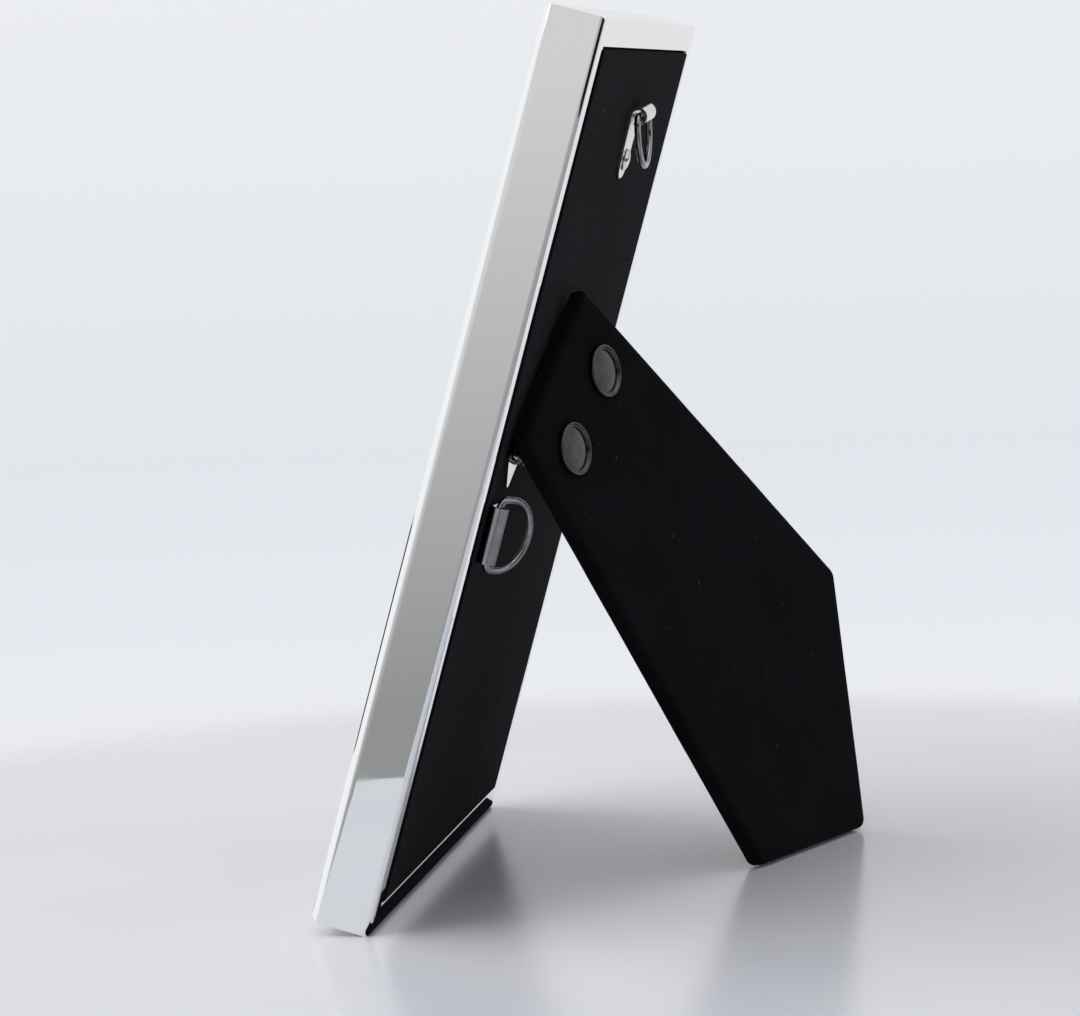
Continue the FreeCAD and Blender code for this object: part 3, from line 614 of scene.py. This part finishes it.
for name, joint_name in (("hanger_top_rivet", "top_ring_hinge"),
                         ("hanger_side_rivet", "side_ring_hinge")):
    place = in_millimetres(hanger_axes(joint_name), STUD_REACH, 0, LEAF)
    stud = turned(name + "_dome", STUD_PROFILE, [place], "back", bright, 32)
    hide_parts(name)
    print(name, "at", [round(value, 1) for value in place.translation], "mm")

# %% [markdown]
# ## Lint
# Black velvet always carries a few grey threads. Each is a short curved hair, 0.06 mm thick,
# that lies on the pile. Particles could scatter them, but a small mesh stays with its piece
# when the strut moves.

# %% Lint
HAIR_RADIUS = 0.03


def lint(name, count, spot, body, matrix):
    """Short curved hairs; spot() gives a random place on a face, in that face's axes."""
    points, faces = [], []
    for hair in range(count):
        x, y, z = spot()
        heading, bend = random.uniform(0, math.tau), random.uniform(-0.9, 0.9)
        length = random.uniform(0.5, 1.8)
        start = len(points)
        for k in range(5):
            for side in range(3):
                angle = math.tau * side / 3
                points.append((x + HAIR_RADIUS * math.cos(angle) * math.sin(heading),
                               y - HAIR_RADIUS * math.cos(angle) * math.cos(heading),
                               z + HAIR_RADIUS + HAIR_RADIUS * math.sin(angle)))
            x += length / 4 * math.cos(heading)
            y += length / 4 * math.sin(heading)
            heading += bend
        for k in range(4):
            for side in range(3):
                a, b = start + 3 * k + side, start + 3 * k + (side + 1) % 3
                faces.append((a, b, b + 3, a + 3))
        faces += [(start + 2, start + 1, start), (start + 12, start + 13, start + 14)]
    return piece(name, points, faces, body, thread, matrix)


thread = pressed_fibre("cotton_lint", "#54565e", "#74767e", 0.3)
on_back = lint("back_lint", 60,
               lambda: (random.uniform(-60, 60), random.uniform(10, 182), 0.0), "back", BACK)
on_strut = lint("strut_lint", 24,
                lambda: (random.uniform(2, 110), random.uniform(-22, 22),
                         KNUCKLE + STRUT_THICKNESS - 0.08), "strut", STRUT)
print("lint:", len(on_back.data.vertices), "and", len(on_strut.data.vertices), "points")

# %% [markdown]
# ## Rings
# Each ring is one length of wire bent to a D. The CAD model gives its wire flat sides. Here the
# same path carries round wire. A curve with a bevel would do it too, but a mesh takes its place
# as it is.

# %% Rings
WIRE, RING_WIDTH, RING_CENTRE, RING_CORNER, RING_SPLIT = 0.7, 15.1, 3.45, 2.0, 0.3
TOP_RING_ANGLE, SIDE_RING_ANGLE = 16.555, 32.0


def ring_path():
    """Centre line of the D, in its own plane: X towards the bow, Y along the bar."""
    half = RING_WIDTH / 2
    path = [(0, y) for y in steps(-RING_SPLIT / 2, -half + RING_CORNER, 1.5)]
    for k in range(1, 7):
        angle = math.radians(180 + 90 * k / 6)
        path.append((RING_CORNER + RING_CORNER * math.cos(angle),
                     RING_CORNER - half + RING_CORNER * math.sin(angle)))
    mirrored_end = [(x, -y) for x, y in reversed(path)]
    for k in range(33):
        angle = math.radians(-90 + 180 * k / 32)
        path.append((RING_CENTRE + half * math.cos(angle), half * math.sin(angle)))
    return path + mirrored_end


def ring_axes(joint_name, angle):
    """The ring's own axes at rest, lifted off the panel by the angle: Y along the bar."""
    joint = joint_named(joint_name)
    bar = -Vector(joint["axis"])
    lift = math.radians(angle)
    lifted = bar.cross(off_panel) * math.cos(lift) + off_panel * math.sin(lift)
    return axes(Vector(joint["pos_m"]), lifted, bar, lifted.cross(bar))


def make_ring(name, matrix, body, node):
    """Round wire along the ring's path, in place of the CAD node."""
    path = ring_path()
    points, faces, sides = [], [], 16
    for i, (x, y) in enumerate(path):
        ahead_of = Vector(path[min(i + 1, len(path) - 1)]) - Vector(path[max(i - 1, 0)])
        ahead_of.normalize()
        out_of = Vector((ahead_of.y, -ahead_of.x))
        for k in range(sides):
            angle = math.tau * k / sides
            reach = out_of * (WIRE * math.cos(angle))
            points.append((x + reach.x, y + reach.y, WIRE * math.sin(angle)))
    for i in range(len(path) - 1):
        for k in range(sides):
            a, b = i * sides + k, i * sides + (k + 1) % sides
            faces.append((a, b, b + sides, a + sides))
    faces += [tuple(range(sides)), tuple(range(len(points) - 1, len(points) - 1 - sides, -1))]
    made = piece(name, points, faces, body, grey_wire_and_shaded_strap, matrix)
    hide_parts(node)


make_ring("top_ring_wire", ring_axes("top_ring_hinge", TOP_RING_ANGLE), "top_ring",
          "hanger_top_ring")
make_ring("side_ring_wire", ring_axes("side_ring_hinge", SIDE_RING_ANGLE), "side_ring",
          "hanger_side_ring")
print("ring path:", len(ring_path()), "points")

# %% [markdown]
# ## The stage
# What stands round the object isn't part of it: one small function makes the table and each of the
# cards.

# %% Stage helpers


def stage_piece(name, points, faces, material):
    """A mesh of points in millimetres that belongs to the stage."""
    mesh = bpy.data.meshes.new(name)
    mesh.from_pydata([Vector(p) * MM for p in points], [], faces)
    mesh.materials.append(material)
    made = bpy.data.objects.new(name, mesh)
    bpy.context.scene.collection.objects.link(made)
    return made


# %% [markdown]
# ## The table
# The object stands on a round, white, slightly glossy table of about half a metre. The camera
# sees its far edge blurred, so there the glaze fades out. The nickel shows the same edge sharp,
# so every other ray sees it end at once.

# %% Table
TABLE_X, TABLE_Y, TABLE_RADIUS, TABLE_FADE = 15.0, 5.0, 247.0, 34.0
DISC_RADIUS, DISC_SIDES, DISC_DROP = 300, 96, 0.02


def table_material():
    """A white glaze that ends at the table's edge: softly for the camera, else at once."""
    material, tree, output, place = new_material("glazed_table")
    distance = add(tree, "ShaderNodeVectorMath", {0: place}, operation="DISTANCE")
    distance.inputs[1].default_value = (TABLE_X * MM, TABLE_Y * MM, 0)
    ray = add(tree, "ShaderNodeLightPath")
    soft = add(tree, "ShaderNodeMapRange", {"Value": distance.outputs["Value"]},
               interpolation_type="SMOOTHERSTEP", From_Min=(TABLE_RADIUS - TABLE_FADE) * MM,
               From_Max=(TABLE_RADIUS + TABLE_FADE) * MM, To_Min=0.0, To_Max=1.0)
    sharp = add(tree, "ShaderNodeMath", {0: distance.outputs["Value"]},
                operation="GREATER_THAN")
    sharp.inputs[1].default_value = TABLE_RADIUS * MM
    edge = add(tree, "ShaderNodeMix", {0: ray.outputs["Is Camera Ray"],
                                       2: sharp.outputs[0], 3: soft.outputs["Result"]})
    mottle = add(tree, "ShaderNodeTexNoise", {"Vector": place}, Scale=per_metre(60), Detail=2.0)
    colour = ramp(tree, mottle.outputs["Fac"], [(0.3, "#d5d6db"), (0.7, "#dadbdf")])
    glaze = add(tree, "ShaderNodeBsdfPrincipled", {"Base Color": colour},
                Roughness=0.22, IOR=1.45)
    glaze.inputs["Specular IOR Level"].default_value = 0.35
    clear = add(tree, "ShaderNodeBsdfTransparent")
    mixed = add(tree, "ShaderNodeMixShader", {0: edge.outputs[0], 1: glaze.outputs[0],
                                              2: clear.outputs[0]})
    tree.links.new(mixed.outputs[0], output.inputs["Surface"])
    return material


edge_points = [(TABLE_X + DISC_RADIUS * math.cos(a), TABLE_Y + DISC_RADIUS * math.sin(a),
                -DISC_DROP) for a in (math.tau * k / DISC_SIDES for k in range(DISC_SIDES))]
stage_piece("table", edge_points, [tuple(range(DISC_SIDES))], table_material())
print("table:", 2 * TABLE_RADIUS, "mm wide")

# %% [markdown]
# ## Cards that only mirrors see
# Polished metal looks like whatever stands round it, so a photographer places cards. A large
# grey one gets lighter upward and fills the side face. A white one stands before the rounded
# front edge, with a narrow slanted dark band before it. Behind the back stand a mid-grey one,
# low, and two black ones above it, whose slanted lower edges draw the dark wedge on the back
# edge. A black strip on the table is painted shade: it stands for the shadowed table close behind
# the frame, and the lower lip mirrors it dark. It can't be seen from below, so that the table
# doesn't mirror it. A thin bright strip beside the right lip keeps that lip bright past the dark
# strut. Camera, shadow and diffuse rays see none of them. A whole room could be modelled instead,
# but eight cards are easier to aim.

# %% Cards


def card_material(name, bottom, top, low, high, one_sided=False):
    """A card that glows from one colour at the bottom to another at the top."""
    material, tree, output, place = new_material(name)
    height = add(tree, "ShaderNodeSeparateXYZ", {"Vector": place})
    share = add(tree, "ShaderNodeMapRange", {"Value": height.outputs["Z"]},
                From_Min=low * MM, From_Max=high * MM)
    colour = ramp(tree, share.outputs["Result"], [(0.0, bottom), (1.0, top)])
    glow = add(tree, "ShaderNodeEmission", {"Color": colour}, Strength=1.0)
    if one_sided:
        side = add(tree, "ShaderNodeNewGeometry")
        clear = add(tree, "ShaderNodeBsdfTransparent")
        glow = add(tree, "ShaderNodeMixShader", {0: side.outputs["Backfacing"],
                                                 1: glow.outputs[0], 2: clear.outputs[0]})
    tree.links.new(glow.outputs[0], output.inputs["Surface"])
    return material


def card(name, points, material):
    """A four-cornered card that only mirrors see."""
    made = stage_piece(name, points, [(0, 1, 2, 3)], material)
    made.visible_camera = False
    made.visible_diffuse = False
    made.visible_shadow = False
    made.visible_transmission = False


card("grey_card", [(1400, -1500, -700), (1400, 1200, -700), (1400, 1200, 900),
                   (1400, -1500, 900)],
     card_material("grey_gradient_card", "#979998", "#d8d9d8", -170, 190))
WHITE = card_material("white_card_glow", "#fbfbfb", "#ffffff", 0, 1000)
DARK = card_material("dark_floor_glow", "#15171f", "#1a1c26", -700, 0)
SHADE = card_material("shade_glow", "#8f9094", "#a2a3a7", -700, 0)
FLAG = card_material("black_flag_glow", "#101012", "#131315", 0, 500)
card("front_white", [(-800, -740, -700), (900, -1300, -700), (900, -1300, 1500),
                     (-800, -740, 1500)], WHITE)
card("front_dark", [(-1094, -115, -125), (-324, -834, 70), (-324, -834, 175),
                    (-1094, -115, -32)], DARK)
card("back_shade", [(1180, 170, -700), (-170, 1190, -700), (-170, 1190, -15),
                    (1180, 170, -15)], SHADE)
card("back_flag", [(1200, 45, 118), (210, 1180, 165), (210, 1180, 500), (1200, 45, 500)],
     FLAG)
card("back_wedge", [(770, 408, 11), (186, 812, -116), (186, 812, 40), (770, 408, 40)], FLAG)
# Painted shade: this black strip stands for the shadowed table behind the frame, seen only in the
# lower lip.
card("painted_shade_strip", [(75, -40.3, 0.05), (75, -35.2, 0.05), (-75, -35.2, 0.05),
                    (-75, -40.3, 0.05)],
     card_material("painted_shade_strip_glow", "#101012", "#131315", 0, 500, one_sided=True))
LIP_CARD_X, LIP_CARD_LOW, LIP_CARD_HIGH = 66.4, 68, 152
lip_card = [BACK @ (Vector((LIP_CARD_X, up, off)) * MM) / MM
            for up, off in ((LIP_CARD_LOW, -0.5), (LIP_CARD_HIGH, -0.5),
                            (LIP_CARD_HIGH, 3), (LIP_CARD_LOW, 3))]
card("lip_glow", lip_card, card_material("lip_card_glow", "#e2e3e6", "#e6e7ea", 0, 200))

# %% [markdown]
# ## World and lamps
# The world is seen in three ways: by the camera as a pale backdrop that shades softly with
# height, by mirrors as one even light grey, and by everything else as dim, slightly blue fill.
# Two large soft lamps, one before the frame and one above, do the rest. They stand so that the
# strut and the back throw their shadow towards the viewer's right, soft and pale. A picture of a
# room could light it all, but lamps and flat colours can each be set by hand.

# %% World and lamps
world = bpy.data.worlds.new("studio")
bpy.context.scene.world = world
world.use_nodes = True
sky = world.node_tree
sky.nodes.clear()
ray = add(sky, "ShaderNodeLightPath")
direction = add(sky, "ShaderNodeTexCoord").outputs["Generated"]
heading = add(sky, "ShaderNodeSeparateXYZ", {"Vector": direction})
lift = add(sky, "ShaderNodeMapRange", {"Value": heading.outputs["Z"]},
           From_Min=-0.25, From_Max=0.1, To_Min=0.0, To_Max=1.0)
tint = ramp(sky, lift.outputs["Result"], [(0.25, "#eaecf2"), (0.45, "#e2e6ec"), (0.8, "#ebedf1")])
seen = add(sky, "ShaderNodeBackground", {"Color": tint}, Strength=1.0)
mirrored = add(sky, "ShaderNodeBackground", Color=paint("#e6e7e8"), Strength=1.0)
fill = add(sky, "ShaderNodeBackground", Color=paint("#e9ebf4"), Strength=0.55)
direct = add(sky, "ShaderNodeMath", {0: ray.outputs["Is Camera Ray"],
                                     1: ray.outputs["Is Transmission Ray"]},
             operation="MAXIMUM")
first = add(sky, "ShaderNodeMixShader", {0: ray.outputs["Is Glossy Ray"], 1: fill.outputs[0],
                                         2: mirrored.outputs[0]})
both = add(sky, "ShaderNodeMixShader", {0: direct.outputs[0], 1: first.outputs[0],
                                        2: seen.outputs[0]})
add(sky, "ShaderNodeOutputWorld", {"Surface": both.outputs[0]})


def softbox(name, place, target, width, height, watts):
    """A rectangular lamp that looks at a target; places in millimetres."""
    data = bpy.data.lights.new(name, "AREA")
    data.shape, data.size, data.size_y, data.energy = "RECTANGLE", width, height, watts
    lamp = bpy.data.objects.new(name, data)
    bpy.context.scene.collection.objects.link(lamp)
    aim = (Vector(target) - Vector(place)).normalized()
    lamp.matrix_world = Matrix.Translation(Vector(place) * MM) @ \
        aim.to_track_quat("-Z", "Y").to_matrix().to_4x4()
    lamp.visible_camera = False


softbox("front_key", (150, -1000, 1000), (0, 0, 60), 1.9, 1.3, 13)
softbox("overhead", (100, 0, 1300), (0, 0, 0), 1.2, 1.2, 5)
